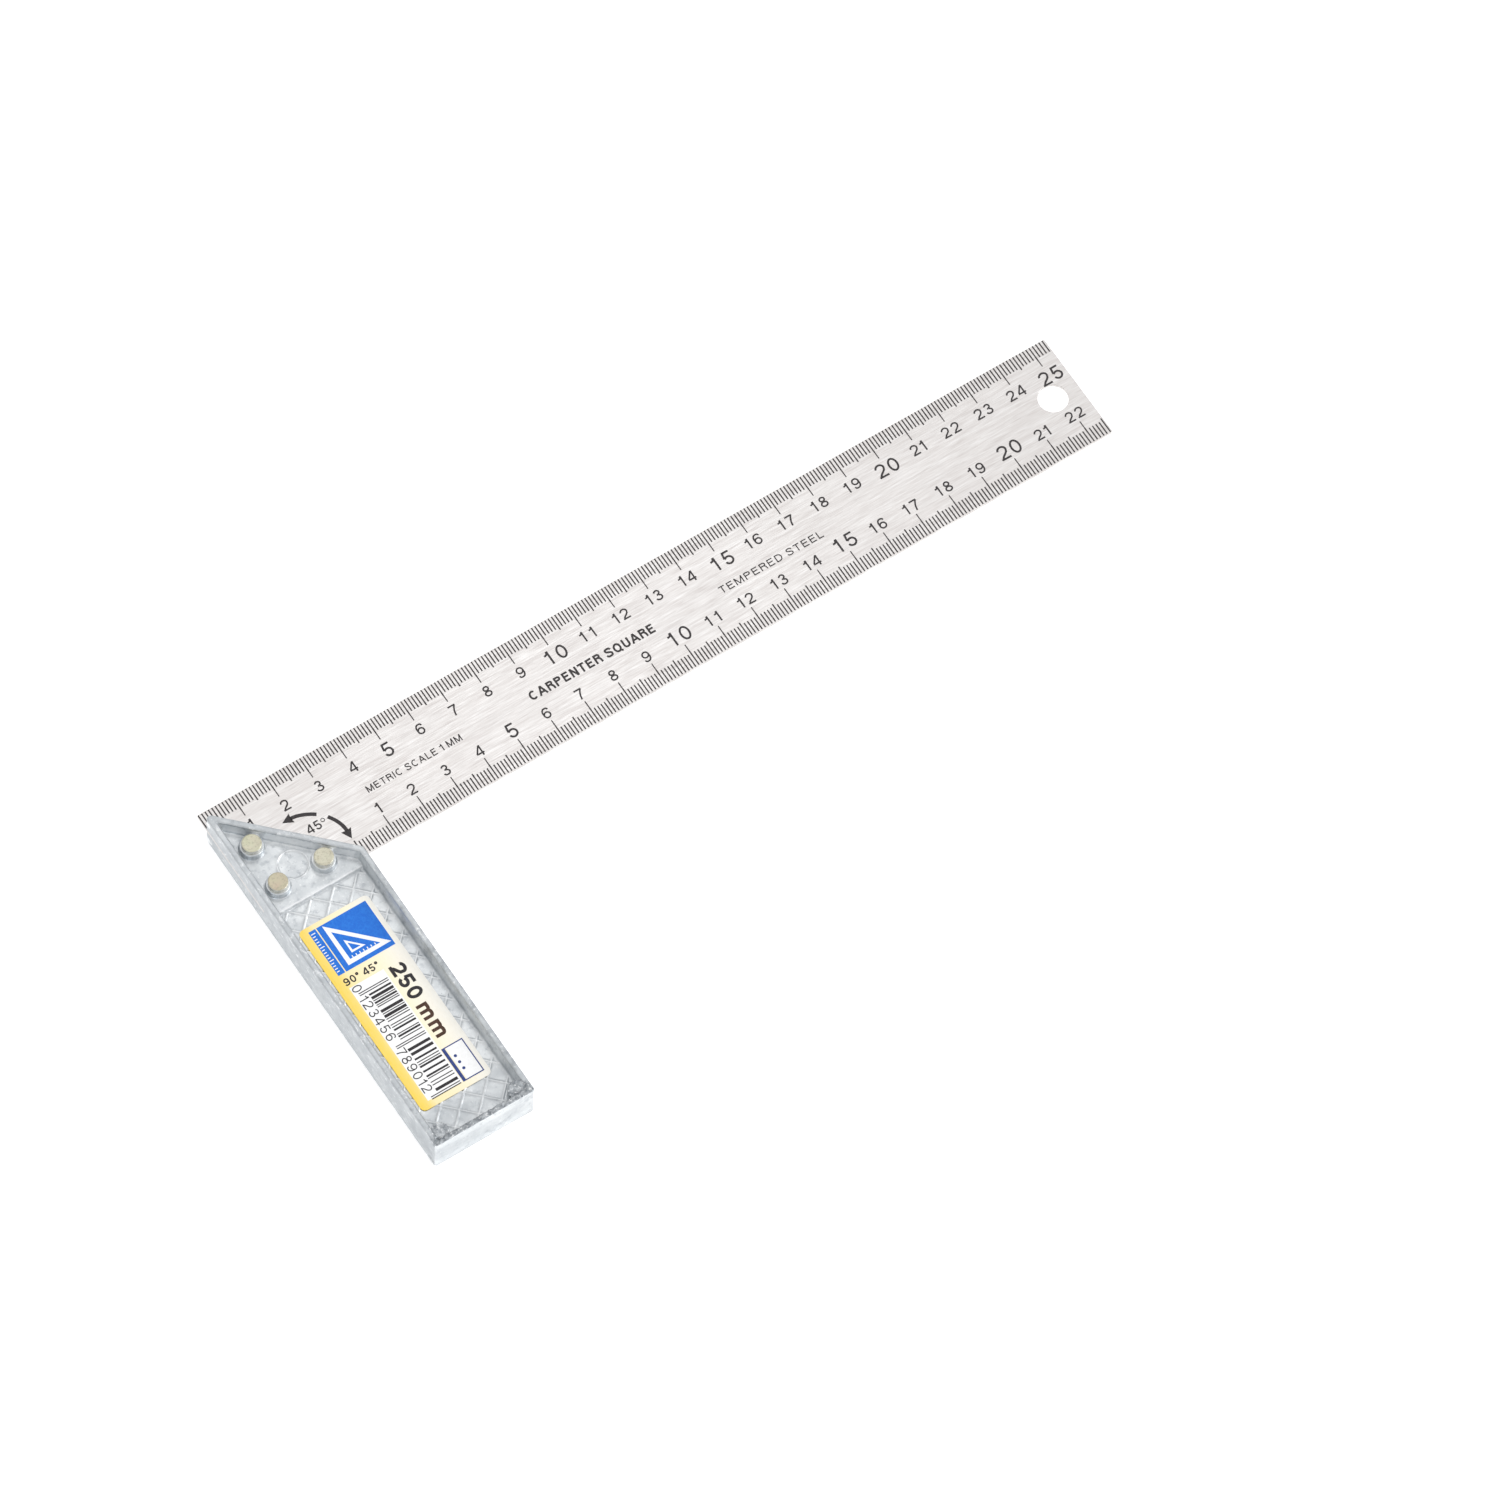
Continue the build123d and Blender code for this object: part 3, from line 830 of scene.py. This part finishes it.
def build_label():
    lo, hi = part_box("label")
    u0, v0 = lo.x / MM - X0, lo.y / MM - YE
    u1, v1 = hi.x / MM - X0, hi.y / MM - YE
    bm = bmesh.new()
    outline = rounded_outline(u0, v0, u1, v1, 1.4, 10)
    outline = [p for i, p in enumerate(outline) if i == 0 or math.dist(p, outline[i - 1]) > 1e-6]
    face = bm.faces.new([bm.verts.new(at(u, v, Z_LABEL)) for u, v in outline])
    for axis, a, b in ((0, u0, u1), (1, v0, v1)):
        k = a + 0.9
        while k < b - 0.3:
            co = at(k, 0, 0) if axis == 0 else at(0, k, 0)
            no = (1, 0, 0) if axis == 0 else (0, 1, 0)
            bmesh.ops.bisect_plane(bm, geom=list(bm.verts) + list(bm.edges) + list(bm.faces), plane_co=co, plane_no=no)
            k += 0.9
    for vert in bm.verts:
        u, v = vert.co.x / MM - X0, vert.co.y / MM - YE
        vert.co.z += paper_height(u, v) * MM
    ext = bmesh.ops.extrude_face_region(bm, geom=list(bm.faces))
    for e in ext["geom"]:
        if isinstance(e, bmesh.types.BMVert):
            e.co.z -= 0.10 * MM
    bmesh.ops.recalc_face_normals(bm, faces=bm.faces)
    ob = new_object("label_sheet", bm)
    ob.data.materials.append(paper_material())
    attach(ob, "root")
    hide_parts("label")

    blue = print_material("print_blue", (0.006, 0.150, 0.66), (0.012, 0.19, 0.72))
    white = print_material("print_white", (0.97, 0.975, 0.98), (0.93, 0.93, 0.93))
    dark = print_material("print_black", (0.012, 0.010, 0.014), (0.03, 0.028, 0.03))
    brown = print_material("print_brown", (0.055, 0.022, 0.010), (0.08, 0.035, 0.02))
    navy = print_material("print_navy", (0.02, 0.045, 0.20), (0.04, 0.07, 0.25))

    def layer(k):
        return Flat(Z_LABEL, 0.02 + 0.02 * k, 0.01, paper_height)

    f = layer(0)
    f.rect(8.15, -25.4, 22.6, -11.3, 0.9)
    f.rect(5.85, -25.4, 7.85, -11.3, 0.85)
    f.done("label_blue_field", blue, "label_paper")

    f = layer(0)
    f.rect(6.25, -66.1, 16.3, -29.7, 0.9)
    f.rect(17.7, -66.1, 22.3, -56.2, 0.9)
    f.done("label_white_panel", white, "label_paper")

    # plain pictogram on the blue field: a drawing triangle with a cut-out
    f = layer(1)
    f.stroke([(10.2, -23.6), (20.9, -23.6), (10.2, -12.9)], 1.25, True)
    f.stroke([(12.4, -21.4), (15.6, -21.4), (12.4, -18.2)], 0.55, True)
    for i in range(7):
        f.rect(11.6 + i * 1.1, -22.95, 11.85 + i * 1.1, -22.35)
    for i in range(15):                          # graduated strip beside the field
        f.rect(6.05, -12.4 - i * 0.86, 7.3 if i % 5 == 0 else 6.85, -12.15 - i * 0.86)
    f.done("label_pictogram", white, "label_paper")

    f = layer(0)
    f.text("90o 45o", 6.0, -28.9, 2.1, 0.36, 0.3, centre=False, fit=10.0)
    f.text("250", 17.4, -30.1, 4.2, 0.88, 0.55, centre=False, angle=-90, wide=1.13)
    f.done("label_angles", dark, "label_paper")

    f = layer(0)
    f.text("mm", 17.4, -42.6, 4.2, 0.90, 0.75, centre=False, angle=-90, wide=1.28)
    f.done("label_size", brown, "label_paper")

    # barcode of made-up widths, and figures in counting order
    f = layer(1)
    rnd = random.Random(7)
    v, end = -32.1, -65.9
    guards = (-32.1, -49.3, -65.5)
    for g in guards:
        for d in (0.0, 0.62):
            f.rect(7.4, g - d - 0.26, 15.9, g - d)
    v -= 1.5
    while v > end + 1.0:
        w = rnd.choice((0.27, 0.27, 0.54, 0.81))
        g = rnd.choice((0.30, 0.45, 0.60, 0.95))
        if abs(v - w / 2 + 49.7) > 1.0:
            f.rect(9.5, v - w, 15.9, v)
        v -= w + g
    f.text("0", 6.55, -29.9, 2.6, 0.28, 0.8, centre=False, angle=-90)
    f.text("123456", 6.55, -33.5, 2.6, 0.28, 0.80, centre=False, angle=-90)
    f.text("789012", 6.55, -50.5, 2.6, 0.28, 0.76, centre=False, angle=-90)
    f.done("label_barcode", dark, "label_paper")

    f = layer(1)
    f.rect(16.5, -66.4, 17.35, -56.0)
    for a, b, c, d in ((17.35, -66.4, 22.6, -66.1), (17.35, -56.3, 22.6, -56.0), (22.3, -66.1, 22.6, -56.3)):
        f.rect(a, b, c, d)
    for c in (-59.3, -61.25, -63.2):
        f.poly(arc(18.6, c, 0.42, 0.42, 0, 360, 14)[:-1])
    f.done("label_grade_box", navy, "label_paper")
    return ob


# ---------------------------------------------------------------- assembly

ink = ink_material("etched_ink", (0.016, 0.013, 0.014), (0.045, 0.038, 0.040))
build_blade()
build_scales(ink)
build_stock()
build_rivet("rivet_outer", rivet_material("rivet_plating_a", ((0.52, 0.52, 0.38), (0.58, 0.57, 0.44), (0.58, 0.54, 0.43)), 1.0), 0.3)
build_rivet("rivet_lower", rivet_material("rivet_plating_b", ((0.54, 0.45, 0.35), (0.54, 0.49, 0.37), (0.50, 0.48, 0.34)), 5.0), 0.9)
build_rivet("rivet_inner", rivet_material("rivet_plating_c", ((0.52, 0.52, 0.40), (0.60, 0.58, 0.47), (0.56, 0.53, 0.42)), 9.0), 1.7)
build_label()

# ---------------------------------------------------------------- floor, light, camera

bm = bmesh.new()
bmesh.ops.create_grid(bm, x_segments=8, y_segments=8, size=6.0)
for vert in bm.verts:
    vert.co.z = -0.0001
floor = new_object("floor", bm)
floor.data.materials.append(floor_material())

world = bpy.data.worlds.new("studio")
bpy.context.scene.world = world
world.use_nodes = True
bg = world.node_tree.nodes["Background"]
bg.inputs["Color"].default_value = (1.0, 1.0, 1.0, 1.0)
bg.inputs["Strength"].default_value = 0.90


def softbox(name, pos, target, size, power, color=(1, 1, 1)):
    data = bpy.data.lights.new(name, "AREA")
    data.shape = "RECTANGLE"
    data.size, data.size_y = size
    data.energy = power
    data.color = color
    ob = bpy.data.objects.new(name, data)
    bpy.context.scene.collection.objects.link(ob)
    ob.location = pos
    ob.rotation_euler = (Vector(target) - Vector(pos)).to_track_quat("-Z", "Y").to_euler()
    return ob


softbox("key", (1.55, -1.15, 1.15), (0, 0, 0), (1.2, 1.2), 22.0)
softbox("top", (0.40, 0.62, 1.55), (0.0, 0.04, 0), (0.34, 0.34), 0.9)

cam = bpy.data.cameras.new("camera")
cam.sensor_width = 36.0
cam.lens = 12554.137 * 36.0 / 1500.0
cam.clip_start = 0.05
cam.clip_end = 60.0
camera = bpy.data.objects.new("camera", cam)
bpy.context.scene.collection.objects.link(camera)
right = Vector((0.8364685309717785, -0.5469367885365983, 0.03435907506303211))
up = Vector((0.47593192605599244, 0.7560968103588999, 0.44922868911694835))
back = Vector((-0.2716784836061702, -0.3594130808837803, 0.8927558674324587))
camera.matrix_world = Matrix.Translation((-0.856339365, -1.135273149, 2.819239626)) @ Matrix((right, up, back)).transposed().to_4x4()
bpy.context.scene.camera = camera
bpy.context.scene.view_settings.view_transform = "Standard"
bpy.context.scene.view_settings.look = "None"
